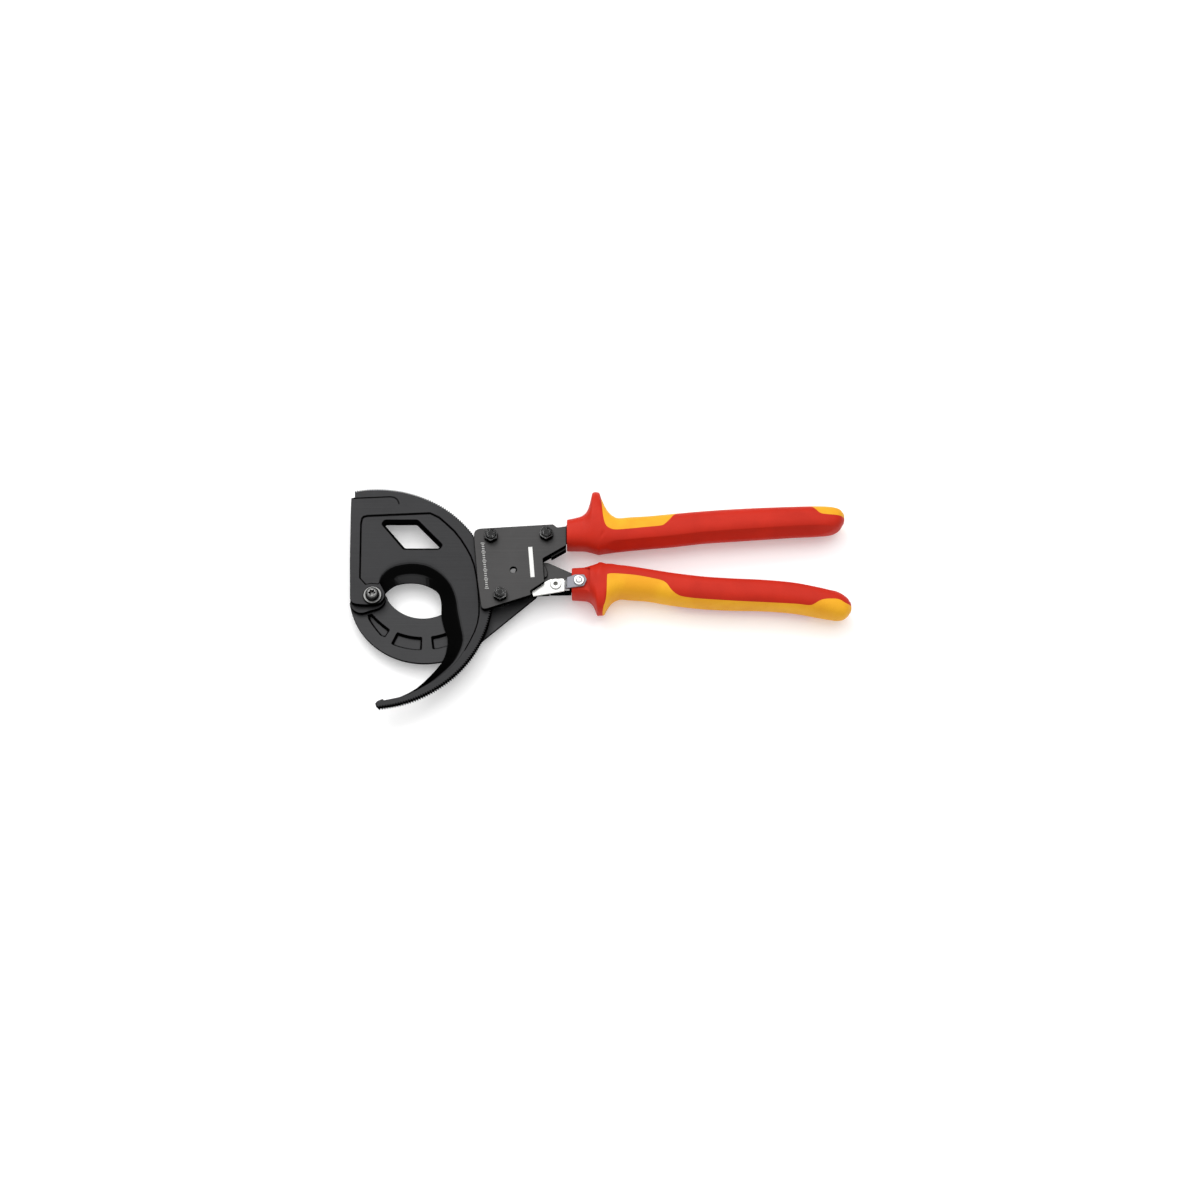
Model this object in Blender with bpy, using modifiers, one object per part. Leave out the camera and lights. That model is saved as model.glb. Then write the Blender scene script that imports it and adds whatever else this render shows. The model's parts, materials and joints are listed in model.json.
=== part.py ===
"""Ratcheting cable cutter: a hooked toothed jaw turning on a fixed ring jaw, driven by two pawls.

The jaw pivot stands at the origin, +X runs to the handle ends and +Z out of the front face.
Every dimension below is in millimetres.
"""
import math

import bmesh
import bpy
from mathutils import Vector

MM = 0.001
GAP = 0.3
THROUGH = 40.0

# Plate stack, measured up from the face that lies on the bench
HEAD_FACE = 0.2
HEAD_TOP = 3.0
FIXED_JAW_Z = (3.3, 9.3)
MOVING_JAW_Z = (9.6, 15.6)
FRONT_PLATE_Z = (15.9, 18.9)
NUT_Z = (19.2, 22.6)
NUT_COLLAR_TOP = 24.1
BOLT_END = 23.9
LEVER_Z = (9.6, 13.9)
LEVER_BOSS_TOP = 15.4
LEVER_ARM_TOP = 12.3
LEVER_THICK_BOTTOM = 4.6
CORE_Z = (11.1, 15.6)
CATCH_Z = (14.2, 15.6)
PAWL_Z = (12.6, 15.3)
HOLDING_PAWL_Z = (9.9, 12.9)
GRIP_MID_Z = 12.45

# Axes, as (x, y)
PIVOT = (0.0, 0.0)
BOLT_A = (75.3, 40.3)
BOLT_B = (111.2, 41.6)
BOLT_C = (82.1, -1.1)
LEVER_AXIS = (101.5, 15.5)
PAWL_AXIS = (87.0, 31.0)
CATCH_AXIS = (117.4, 8.0)
SPRING_PIN = (86.0, 44.0)
SPRING_STUD = (98.5, 29.0)
SIGHT_HOLE = (90.2, 16.7)

# Jaws
TOOTH_TIP_R = 77.0
TOOTH_DEPTH = 1.5
TOOTH_PITCH = 1.66
RIM_START = -84.5
RIM_END = 101.2
PANEL_DEPTH = 1.1
PANEL_DRAFT = 0.9
WINDOW_DRAFT = 1.8
EDGE_LAND = 0.6
RING_CENTRE = (34.3, 5.9)
RING_R = 50.3
THROAT_CENTRE = (32.3, 13.6)
THROAT_R = 27.0
THROAT_BACK_R = 31.5
RING_CHAMFER = 2.4
RING_WALL = 2.0
POCKET_R = (39.8, 48.9)
POCKET_DEPTH = 2.3
POCKET_DRAFT = 1.2
POCKETS = ((-114.0, -90.0), (-82.0, -61.0))
HUB_POCKET = [(-3.4, -10.8, 0.0), (-2.6, -14.0, 0.0), (-0.4, -17.5, 0.0), (2.4, -21.4, 0.0),
              (5.6, -25.2, 0.8), (8.6, -26.4, 1.0), (11.6, -21.2, 1.2), (6.4, -16.9, 0.0), (2.6, -13.4, 0.0),
              (-0.6, -9.8, 0.6)]

# Fasteners
BOLT_R = 2.5
BOLT_HEAD_R = 4.4
BOLT_HOLE_R = 2.7
NUT_FLATS = 8.0
NUT_COLLAR_R = 3.5
SLEEVE_R = 3.6
PIVOT_R = 5.0
PIVOT_HEAD_R = 9.0
PIVOT_BORE_R = 5.15
SCREW_R = 2.3
SCREW_HEAD_R = 4.3
WASHER_R = 6.1
LEVER_PIN_R = 4.0
PIN_TOP = 17.9
PAWL_PIN_R = 2.0
RIVET_R = 2.1
RUNNING = 0.15

# Cutting edge of the moving jaw and the outer limit of its hollow grind, matched pairs from the hub
EDGE = [(7.5, 3.6), (10.1, 6.5), (14.3, 9.5), (20.6, 10.9), (26.0, 11.0), (31.4, 10.1),
        (38.0, 7.1), (42.3, 3.0), (43.9, -4.6), (44.1, -11.6), (46.3, -20.8), (48.6, -28.0),
        (48.0, -37.5), (44.9, -45.0), (37.8, -54.0), (29.7, -62.0), (20.0, -67.5), (9.5, -71.0)]
GRIND = [(3.2, 10.6), (4.4, 17.4), (9.9, 23.6), (19.6, 26.6), (28.4, 26.8), (37.2, 24.2),
         (45.2, 18.2), (51.4, 10.2), (56.0, 0.4), (58.4, -10.8), (60.6, -21.8), (61.8, -32.1),
         (58.0, -41.2), (52.5, -48.6), (44.6, -55.8), (35.1, -62.5), (23.1, -68.8), (10.2, -72.0)]
HUB_EDGE = [(-14.4, -2.2), (-12.6, -5.0), (-7.5, -6.1), (0.0, -6.1), (5.2, -4.8), (7.5, -1.2)]
HUB_STEP = [(-14.6, 2.0), (-14.5, -3.6), (-13.4, -7.4), (-10.0, -10.1), (-5.8, -10.6), (-1.6, -9.0),
            (3.0, -7.7), (6.4, -5.2), (7.9, -1.2), (5.5, 1.5)]
HUB_STEP_TOP = 12.2
PANEL_RIM = [(41.0, 56.5), (51.5, 46.4), (59.5, 34.5), (65.0, 22.0), (68.0, 4.0), (69.0, -12.7),
             (66.5, -25.0), (60.5, -38.0)]
WINDOW = [(3.0, 51.8, 2.4), (5.4, 54.8, 2.4), (27.0, 54.8, 2.6), (44.3, 36.4, 2.6), (41.8, 33.0, 2.4),
          (18.4, 33.0, 2.6)]

PAD_LINE = [(-18.0, 69.6), (8.6, 70.9), (11.4, 70.4), (13.4, 68.8), (14.7, 65.6)]

# Cross-section of the hollow grind from the panel to the edge: share of its width, depth as a share of
# the full drop on the sides, and depth over the flatter stretch at the top of the opening
GRIND_SHAPE = [(0.0, -0.01, -0.01), (0.08, 0.01, 0.01), (0.16, 0.035, 0.04), (0.24, 0.085, 0.1),
               (0.32, 0.165, 0.2), (0.47, 0.35, 0.43), (0.62, 0.535, 0.66), (0.7, 0.635, 0.73),
               (1.0, 1.0, 0.97)]

# Plates and levers, as (x, y, corner radius)
PLATE = [(63.7, 45.8, 5.0), (115.5, 49.2, 2.0), (118.0, 46.8, 2.0), (124.0, 47.8, 0.0),
         (124.0, 34.3, 0.0), (108.9, 24.8, 1.0), (110.1, 8.5, 1.5), (101.1, 2.0, 0.8),
         (101.7, -0.9, 0.8), (70.4, -11.6, 3.0), (67.3, 9.8, 6.0), (65.9, 23.9, 6.0)]
CORE = [(114.5, 26.8, 0.0), (123.9, 32.6, 0.0), (124.0, 38.5, 0.0), (262.0, 48.3, 2.0),
        (262.0, 57.3, 2.0), (124.0, 50.3, 0.0), (123.9, 47.5, 0.0), (106.5, 47.3, 1.0),
        (106.5, 37.5, 1.0), (113.0, 33.5, 1.0)]
LEVER_TANG = [(103.5, 1.9), (113.5, 2.3), (113.5, 4.5), (127.6, 4.8), (262.0, -3.9), (262.0, 5.1),
              (127.8, 14.8), (127.7, 16.5), (112.6, 23.7)]
LEVER_BOSS_R = 10.3
CATCH = [(103.0, -0.1, 0.5), (123.0, 3.5, 1.0), (123.2, 4.2, 0.0), (126.4, 4.2, 0.3),
         (126.4, 10.5, 0.3), (122.9, 10.5, 0.0), (122.5, 12.0, 1.0), (114.1, 11.5, 3.0),
         (101.6, 4.4, 0.8)]
TAB = [(124.9, 2.4, 0.0), (135.6, 3.8, 1.5), (137.4, 8.2, 1.5), (135.8, 11.7, 1.5),
       (130.0, 11.7, 2.0), (124.9, 9.6, 0.0)]
TAB_Z = (21.6, 22.6)
TAB_STUD = (132.5, 7.5)

# Grips, as (x, centre y, half height in y, half depth in z)
UPPER_GRIP = [(124.4, 44.1, 9.7, 10.2), (132.0, 45.0, 10.7, 10.5), (135.2, 45.8, 11.6, 10.6),
              (137.5, 47.0, 13.1, 11.2), (139.0, 49.1, 15.7, 11.7), (140.0, 51.3, 18.2, 12.1),
              (141.2, 53.3, 20.6, 12.4), (145.2, 52.7, 21.2, 12.4), (146.3, 51.4, 19.6, 12.4),
              (147.6, 49.7, 17.6, 12.2), (149.2, 47.9, 15.4, 12.0), (151.5, 46.0, 13.2, 11.7),
              (154.5, 44.7, 11.5, 11.5), (158.0, 44.2, 10.6, 11.3), (166.0, 45.0, 10.5, 11.1),
              (178.0, 46.0, 10.3, 11.0), (193.0, 47.5, 10.4, 11.0), (213.0, 49.7, 10.1, 11.0),
              (233.0, 51.2, 10.1, 11.0), (252.0, 52.4, 9.9, 11.0), (272.0, 53.5, 9.6, 10.8),
              (288.0, 54.1, 9.4, 10.6), (296.0, 54.5, 8.8, 9.6), (300.4, 55.0, 7.6, 8.4),
              (303.0, 55.6, 5.9, 6.6), (304.4, 56.0, 3.9, 4.4)]
LOWER_GRIP = [(127.8, 9.2, 9.9, 10.3), (135.0, 9.2, 10.3, 10.6), (138.0, 9.3, 10.8, 11.3),
              (140.2, 9.0, 11.8, 12.2), (141.9, 8.1, 13.3, 12.4), (143.2, 6.6, 15.5, 12.4),
              (144.2, 5.6, 17.0, 12.4), (145.9, 6.1, 17.5, 12.4), (148.6, 5.9, 17.0, 12.1),
              (149.8, 7.0, 15.5, 11.9),
              (151.5, 8.4, 14.1, 11.7), (153.8, 9.9, 12.5, 11.5), (157.0, 10.7, 11.2, 11.3),
              (160.0, 10.8, 10.7, 11.2), (166.0, 10.1, 10.6, 11.1), (177.0, 8.7, 10.1, 11.0),
              (192.5, 5.9, 10.2, 11.0), (212.0, 3.4, 10.1, 11.0), (231.0, 2.2, 9.9, 11.0),
              (250.5, 1.5, 9.6, 11.0), (270.0, -0.3, 9.5, 10.8), (285.5, -3.4, 9.4, 10.6),
              (293.0, -5.1, 9.2, 10.1), (298.0, -6.2, 9.0, 9.2), (302.0, -7.0, 7.7, 7.6),
              (304.7, -7.1, 5.7, 5.6), (306.0, -7.2, 3.7, 3.8)]
GRIP_POWER = 2.5
GRIP_POINTS = 36

# Flat along each grip's inner side: its plane's lean, how deep it cuts, and where it fades in and out
FACET_LEAN = math.radians(25.0)
FACET_DEPTH = 1.0
FACET_SWELL = 0.8
FACET_SPAN = (149.0, 157.0, 288.0, 300.0)

# Line between a grip's hard shell and its soft inlay, from the guard to the end
UPPER_INLAY = [(146.4, 90.0), (146.6, 68.0), (147.5, 56.6), (148.4, 50.1), (149.8, 46.1), (152.4, 44.0),
               (156.2, 43.2), (165.3, 44.0), (175.0, 45.1), (185.0, 46.2), (188.0, 47.6),
               (191.3, 51.2), (194.2, 55.0), (198.0, 56.9), (213.0, 58.5), (252.0, 61.2),
               (279.0, 62.4), (283.0, 61.6), (286.0, 58.6), (288.4, 55.9), (292.0, 54.9),
               (301.4, 55.0), (312.0, 55.2)]
LOWER_INLAY = [(146.8, -40.0), (147.0, -14.0), (147.9, -10.0), (149.4, -6.0), (150.1, -1.0),
               (150.5, 10.0), (151.4, 11.5), (154.0, 11.9), (158.2, 11.8), (168.5, 10.9),
               (177.9, 9.1), (185.4, 7.2), (188.6, 5.0), (191.4, 1.2), (195.0, -1.6),
               (200.0, -3.1), (212.0, -4.5), (231.0, -5.7), (250.5, -6.5), (270.0, -7.8),
               (279.0, -9.0), (282.2, -8.6), (285.6, -6.8), (288.4, -5.8), (293.0, -5.2),
               (298.6, -5.3), (303.7, -7.2), (312.0, -7.3)]
GROOVE = 0.12

COLOURS = {
    "blade_steel": ((0.045, 0.046, 0.048), 0.8, 0.42),
    "frame_steel": ((0.085, 0.086, 0.088), 0.8, 0.45),
    "plate_steel": ((0.11, 0.11, 0.112), 0.6, 0.5),
    "black_steel": ((0.02, 0.02, 0.021), 0.8, 0.4),
    "zinc_steel": ((0.62, 0.62, 0.6), 0.9, 0.3),
    "tab_steel": ((0.19, 0.19, 0.21), 0.8, 0.4),
    "screw_steel": ((0.24, 0.24, 0.235), 0.9, 0.35),
    "chrome": ((0.7, 0.7, 0.7), 1.0, 0.1),
    "red_plastic": ((0.56, 0.045, 0.027), 0.0, 0.45),
    "yellow_plastic": ((0.8, 0.42, 0.035), 0.0, 0.5),
}


def material(name, node):
    """A Principled material of its own for one part."""
    colour, metallic, roughness = COLOURS[name]
    made = bpy.data.materials.new(name + "_" + node)
    made.use_nodes = True
    shader = made.node_tree.nodes["Principled BSDF"]
    shader.inputs["Base Color"].default_value = (*colour, 1.0)
    shader.inputs["Metallic"].default_value = metallic
    shader.inputs["Roughness"].default_value = roughness
    return made


def link(name, data, look):
    """Put a mesh or curve in the scene: a part if it has a look, otherwise a hidden tool."""
    obj = bpy.data.objects.new(name, data)
    if look is None:
        obj.hide_render = True
        obj.display_type = "WIRE"
        cutters.objects.link(obj)
    else:
        data.materials.append(material(look, name))
        parts.objects.link(obj)
    return obj


def loft(name, rings, look=None):
    """Skin a row of unlike closed sections of equal length and cap both ends."""
    count = len(rings[0])
    verts = [(x * MM, y * MM, z * MM) for ring in rings for x, y, z in ring]
    faces = [list(range(count)), list(range(len(verts) - count, len(verts)))]
    for low in range(0, len(verts) - count, count):
        for i in range(count):
            j = (i + 1) % count
            faces.append([low + i, low + j, low + count + j, low + count + i])
    mesh = bpy.data.meshes.new(name)
    mesh.from_pydata(verts, [], faces)
    skin = bmesh.new()
    skin.from_mesh(mesh)
    bmesh.ops.recalc_face_normals(skin, faces=skin.faces)
    skin.to_mesh(mesh)
    skin.free()
    mesh.shade_smooth()
    mesh.set_sharp_from_angle(angle=math.radians(35.0))
    return link(name, mesh, look)


def prism(name, outline, span, look=None):
    """A filled 2D curve extruded through span = (bottom, top), made a mesh so that it can be cut."""
    curve = bpy.data.curves.new(name, "CURVE")
    curve.dimensions = "2D"
    curve.fill_mode = "BOTH"
    curve.extrude = (span[1] - span[0]) / 2 * MM
    spline = curve.splines.new("POLY")
    spline.points.add(len(outline) - 1)
    for point, (x, y) in zip(spline.points, outline):
        point.co = (x * MM, y * MM, 0.0, 1.0)
    spline.use_cyclic_u = True
    drawn = bpy.data.objects.new(name + "_outline", curve)
    bpy.context.scene.collection.objects.link(drawn)
    drawn.location.z = (span[0] + span[1]) / 2 * MM
    bpy.context.view_layer.update()
    evaluated = drawn.evaluated_get(bpy.context.evaluated_depsgraph_get())
    mesh = bpy.data.meshes.new_from_object(evaluated)
    mesh.name = name
    weld = bmesh.new()
    weld.from_mesh(mesh)
    bmesh.ops.remove_doubles(weld, verts=weld.verts, dist=1e-6)
    bmesh.ops.dissolve_limit(weld, angle_limit=0.001, verts=weld.verts, edges=weld.edges)
    weld.to_mesh(mesh)
    weld.free()
    obj = link(name, mesh, look)
    obj.matrix_world = drawn.matrix_world
    bpy.data.objects.remove(drawn, do_unlink=True)
    return obj


def turned(name, steps, at, look=None, sides=32):
    """A profile of (radius, z) steps, bottom to top, turned about a vertical line."""
    profile = [(0.0, steps[-1][1])] + list(reversed(steps)) + [(0.0, steps[0][1])]
    mesh = bpy.data.meshes.new(name)
    edges = [(i, i + 1) for i in range(len(profile) - 1)]
    mesh.from_pydata([(r * MM, 0.0, z * MM) for r, z in profile], edges, [])
    obj = link(name, mesh, look)
    obj.location = (at[0] * MM, at[1] * MM, 0.0)
    turn = obj.modifiers.new("turn", "SCREW")
    turn.steps = sides
    turn.render_steps = sides
    turn.use_merge_vertices = True
    turn.merge_threshold = 0.00001
    return obj


def hinge(name, at, pieces, carrier=None):
    """An empty on a joint axis that carries the pieces of one moving body."""
    empty = bpy.data.objects.new(name, None)
    empty.location = (at[0] * MM, at[1] * MM, 0.0)
    parts.objects.link(empty)
    bpy.context.view_layer.update()
    for held in [bpy.data.objects[piece] for piece in pieces]:
        held.parent = empty
        held.matrix_parent_inverse = empty.matrix_world.inverted()
    if carrier is not None:
        empty.parent = carrier
        empty.matrix_parent_inverse = carrier.matrix_world.inverted()
    return empty


def drill(target, at, radius, span=(-THROUGH, THROUGH), sides=32):
    """Cut a round hole."""
    tool = turned(target.name + "_hole", [(radius, span[0]), (radius, span[1])], at, sides=sides)
    combine(target, tool, "DIFFERENCE")


def combine(target, tool, operation):
    """Apply a hidden tool to a part with an exact boolean."""
    step = target.modifiers.new(operation.lower(), "BOOLEAN")
    step.operation = operation
    step.solver = "EXACT"
    step.object = tool


def arc(centre, radius, start, end, steps):
    """Points on an arc, in degrees, both ends included."""
    turn = [math.radians(start + (end - start) * i / steps) for i in range(steps + 1)]
    return [(centre[0] + radius * math.cos(a), centre[1] + radius * math.sin(a)) for a in turn]


def smooth(points, steps):
    """A Catmull-Rom curve through the points."""
    padded = [points[0]] + list(points) + [points[-1]]
    curve = []
    for p0, p1, p2, p3 in zip(padded, padded[1:], padded[2:], padded[3:]):
        for i in range(steps):
            t = i / steps
            curve.append(tuple(
                0.5 * (2 * b + (c - a) * t + (2 * a - 5 * b + 4 * c - d) * t ** 2
                       + (3 * b - a - 3 * c + d) * t ** 3)
                for a, b, c, d in zip(p0, p1, p2, p3)))
    curve.append(tuple(points[-1]))
    return curve


def rounded(points, steps=4):
    """The polygon of (x, y, radius) with its corners rounded."""
    outline = []
    count = len(points)
    for i, (x, y, radius) in enumerate(points):
        here = Vector((x, y))
        back = Vector(points[i - 1][:2]) - here
        ahead = Vector(points[(i + 1) % count][:2]) - here
        if radius <= 0.0:
            outline.append((x, y))
            continue
        half = back.angle(ahead) / 2
        reach = min(radius / math.tan(half), 0.45 * back.length, 0.45 * ahead.length)
        start = here + back.normalized() * reach
        end = here + ahead.normalized() * reach
        for k in range(steps + 1):
            t = k / steps
            spot = start * (1 - t) ** 2 + here * 2 * t * (1 - t) + end * t ** 2
            outline.append((spot.x, spot.y))
    return outline


def inset(outline, distance):
    """The closed polygon of (x, y) or (x, y, radius) drawn in by distance."""
    turn = sum(a[0] * b[1] - b[0] * a[1] for a, b in zip(outline, outline[1:] + outline[:1]))
    side = distance if turn > 0.0 else -distance
    drawn = []
    count = len(outline)
    for i, corner in enumerate(outline):
        here = Vector(corner[:2])
        back = (here - Vector(outline[i - 1][:2])).normalized()
        ahead = (Vector(outline[(i + 1) % count][:2]) - here).normalized()
        bend = (back + ahead).normalized()
        spot = here + Vector((-bend.y, bend.x)) * side / max(0.4, bend.dot(ahead))
        drawn.append((spot.x, spot.y, *corner[2:]))
    return drawn


def sunk(target, outline, floor, top, draft, name):
    """Sinks a pocket with drafted walls, from its outline at top to a smaller floor."""
    if len(outline[0]) == 3:
        wide, narrow = rounded(outline), rounded(inset(outline, draft))
    else:
        wide, narrow = outline, inset(outline, draft)
    rings = [[(x, y, z) for x, y in shape] for shape, z in ((narrow, floor), (wide, top), (wide, top + 1.0))]
    combine(target, loft(name, rings), "DIFFERENCE")


def wire(name, path, radius, look):
    """A round wire along a path of 3-D points."""
    curve = bpy.data.curves.new(name, "CURVE")
    curve.dimensions = "3D"
    curve.bevel_depth = radius * MM
    curve.bevel_resolution = 1
    curve.use_fill_caps = True
    spline = curve.splines.new("POLY")
    spline.points.add(len(path) - 1)
    for point, (x, y, z) in zip(spline.points, path):
        point.co = (x * MM, y * MM, z * MM, 1.0)
    return link(name, curve, look)


def toothed_rim():
    """The ratchet rim of the moving jaw, from its tip round to the top corner."""
    count = int(math.radians(RIM_END - RIM_START) * TOOTH_TIP_R / TOOTH_PITCH)
    step = (RIM_END - RIM_START) / count
    rim = []
    for i in range(count):
        tip = math.radians(RIM_START + step * i)
        root = math.radians(RIM_START + step * (i + 0.42))
        rim.append((TOOTH_TIP_R * math.cos(tip), TOOTH_TIP_R * math.sin(tip)))
        low = TOOTH_TIP_R - TOOTH_DEPTH
        rim.append((low * math.cos(root), low * math.sin(root)))
    last = math.radians(RIM_END)
    rim.append((TOOTH_TIP_R * math.cos(last), TOOTH_TIP_R * math.sin(last)))
    return rim


def grind_rings(bottom, floor, top):
    """Sections of the tool for the hollow grind, from the cutting edge out to the panel."""
    rings = []
    for inner, outer in zip(smooth([(7.2, 3.1)] + EDGE[1:], 3), smooth(GRIND, 3)):
        e, f = Vector(inner), Vector(outer)
        away = (f - e).normalized()
        flat = min(1.0, max(0.0, (e.x - 11.0) / 6.0)) * min(1.0, max(0.0, (39.0 - e.x) / 8.0))
        flat *= 1.0 if e.y > 0.0 else 0.0
        low = bottom + EDGE_LAND
        drop = floor - low
        marks = [(e - away * 1.2, low)]
        for share, steep, facet in GRIND_SHAPE:
            depth = steep + (facet - steep) * flat
            marks.append((f + (e - f) * share, floor - drop * depth))
        marks[1:] = reversed(marks[1:])
        marks += [(f, floor + 0.1), (f + away * 0.05, top + 1.0), (e - away * 1.2, top + 1.0)]
        rings.append([(spot.x, spot.y, z) for spot, z in marks])
    return rings


def build_moving_jaw():
    """The hooked jaw: toothed rim, recessed panel, diamond window and hollow-ground edge."""
    outline = toothed_rim()
    outline += [(-14.7, 70.3), (-17.0, 69.9), (-16.9, 61.0), (-15.8, 25.0)]
    outline += smooth(HUB_EDGE, 2)
    edge = smooth(EDGE, 2)
    outline += edge
    outline += [(6.0, -72.6), (4.9, -74.2)]
    jaw = prism("moving_jaw", outline, MOVING_JAW_Z, "blade_steel")
    bottom, top = MOVING_JAW_Z
    combine(jaw, prism("hub_step_tool", smooth(HUB_STEP, 2), (bottom, HUB_STEP_TOP)), "UNION")
    floor = top - PANEL_DEPTH

    middle = [((a[0] + b[0] * 1.6) / 2.6, (a[1] + b[1] * 1.6) / 2.6) for a, b in zip(edge, smooth(GRIND, 2))]
    middle = [spot for spot in middle[1:] if spot[1] > -45.0]
    panel = [(-9.2, 12.4), (-10.3, 51.0), (-9.8, 55.3), (-8.6, 56.9), (-6.0, 57.6), (35.0, 59.6)]
    panel += smooth(PANEL_RIM, 2)
    panel += list(reversed(middle))
    panel += [(3.3, 7.9), (-1.5, 8.4), (-5.0, 7.6)]
    sunk(jaw, panel, floor, top, PANEL_DRAFT, "panel_tool")
    combine(jaw, loft("grind_tool", grind_rings(bottom, floor, top)), "DIFFERENCE")
    combine(jaw, prism("window_tool", rounded(inset(WINDOW, WINDOW_DRAFT)), (bottom - 1.0, top + 1.0)),
            "DIFFERENCE")
    sunk(jaw, WINDOW, floor - WINDOW_DRAFT, floor, WINDOW_DRAFT, "window_edge_tool")
    groove = [(x, y + 0.35) for x, y in PAD_LINE] + [(x - 0.3, y - 0.4) for x, y in reversed(PAD_LINE)]
    sunk(jaw, groove, top - 0.5, top, 0.15, "pad_line_tool")
    drill(jaw, PIVOT, PIVOT_BORE_R, sides=40)


def fixed_outline(inset):
    """The fixed jaw and its body seen from the front, with its outer edge drawn in by inset."""
    outline = arc(RING_CENTRE, RING_R - inset, 190.0, 315.0, 40)
    web = Vector((0.667, -0.745)) * inset
    outline += [(104.6 - web.x, 1.4 - web.y)]
    body = [(108.3, 7.0, 1.0), (108.3, 28.5, 0.0), (116.5, 33.8, 2.0), (116.5, 46.5, 2.0),
            (67.5, 44.6, 3.0), (61.2, 33.0, 6.0)]
    outline += rounded([(104.6, 1.4, 0.0)] + body + [(58.0, 22.0, 0.0)])[1:-1]
    outline += arc(THROAT_CENTRE, THROAT_R, 18.0, -180.0, 44)
    outline += arc(PIVOT, 14.6, 69.6, 184.0, 14)
    return outline


def build_fixed_jaw():
    """The ring jaw with its housing body, bevelled at the back and pocketed at the front."""
    bottom, top = FIXED_JAW_Z
    rings = []
    for z, inset in ((bottom, RING_CHAMFER), (top - RING_WALL, 0.0), (top, 0.0)):
        rings.append([(x, y, z) for x, y in fixed_outline(inset)])
    jaw = loft("fixed_jaw", rings, "frame_steel")
    cone = turned("throat_tool", [(THROAT_BACK_R + 0.9, bottom - 1.0), (THROAT_R, top - 0.8),
                                  (THROAT_R - 6.0, top - 0.8)], THROAT_CENTRE, sides=80)
    wall = prism("throat_limit", [(3.0, 15.5), (3.0, -40.0), (100.0, -40.0), (100.0, 15.5)],
                 (bottom - 2.0, top))
    combine(cone, wall, "INTERSECT")
    combine(jaw, cone, "DIFFERENCE")
    inner, outer = POCKET_R
    for start, end in POCKETS:
        lower = [(x, y, 0.0) for x, y in arc(THROAT_CENTRE, outer, start, end, 7)]
        upper = [(x, y, 0.0) for x, y in arc(THROAT_CENTRE, inner, end, start, 7)]
        for row in (lower, upper):
            row[0] = (*row[0][:2], 1.2)
            row[-1] = (*row[-1][:2], 1.2)
        sunk(jaw, lower + upper, top - POCKET_DEPTH, top, POCKET_DRAFT, "pocket_tool")
    sunk(jaw, HUB_POCKET, top - POCKET_DEPTH, top, POCKET_DRAFT, "hub_pocket_tool")
    drill(jaw, PIVOT, PIVOT_BORE_R, sides=40)
    for spot in (BOLT_A, BOLT_B, BOLT_C):
        drill(jaw, spot, BOLT_HOLE_R)
    drill(jaw, LEVER_AXIS, LEVER_PIN_R + RUNNING)
    drill(jaw, SPRING_PIN, 1.3, (top - 2.4, THROUGH), 16)
    sight = [(86.6, 17.2, 3.0), (93.8, 17.2, 3.0), (93.8, 28.0, 3.0), (86.6, 28.0, 3.0)]
    combine(jaw, prism("sight_tool", rounded(sight), (bottom - 1.0, top + 1.0)), "DIFFERENCE")


def build_front_plate():
    """The cover plate in front of the ratchet, carried on into the upper handle."""
    plate = prism("front_plate", rounded(PLATE), FRONT_PLATE_Z, "plate_steel")
    for spot in (BOLT_A, BOLT_B, BOLT_C):
        drill(plate, spot, BOLT_HOLE_R)
    drill(plate, LEVER_AXIS, LEVER_PIN_R + RUNNING, (-THROUGH, PIN_TOP + GAP))
    drill(plate, SIGHT_HOLE, 2.25, sides=24)


def build_frame_hardware():
    """Bolts, nuts, sleeves and pins of the frame."""
    for letter, spot in (("a", BOLT_A), ("b", BOLT_B), ("c", BOLT_C)):
        steps = [(BOLT_HEAD_R - 0.4, HEAD_FACE), (BOLT_HEAD_R, HEAD_FACE + 0.4), (BOLT_HEAD_R, HEAD_TOP),
                 (BOLT_R, HEAD_TOP), (BOLT_R, BOLT_END - 0.3), (BOLT_R - 0.4, BOLT_END)]
        turned("bolt_" + letter, steps, spot, "black_steel", sides=24)
        hexagon = arc(spot, NUT_FLATS / math.sqrt(3.0), 30.0, 330.0, 5)
        nut = prism("nut_" + letter, hexagon, NUT_Z, "black_steel")
        collar = [(NUT_COLLAR_R, NUT_Z[1] - 0.3), (NUT_COLLAR_R, NUT_COLLAR_TOP - 0.4),
                  (NUT_COLLAR_R - 0.4, NUT_COLLAR_TOP)]
        combine(nut, turned("collar_tool", collar, spot, sides=24), "UNION")
        drill(nut, spot, BOLT_R + 0.1, sides=24)
    for name, spot, radius, span in (("sleeve_a", BOLT_A, SLEEVE_R, MOVING_JAW_Z),
                                     ("sleeve_c", BOLT_C, SLEEVE_R, MOVING_JAW_Z),
                                     ("spacer_b", BOLT_B, 4.5, (9.6, 10.8))):
        sleeve = turned(name, [(radius, span[0]), (radius, span[1])], spot, "zinc_steel", sides=24)
        drill(sleeve, spot, BOLT_HOLE_R, sides=24)
    turned("lever_pin", [(LEVER_PIN_R, 3.5), (LEVER_PIN_R, PIN_TOP)], LEVER_AXIS, "plate_steel")
    turned("spring_pin", [(1.15, 7.2), (1.15, 15.6)], SPRING_PIN, "zinc_steel", sides=16)


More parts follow.
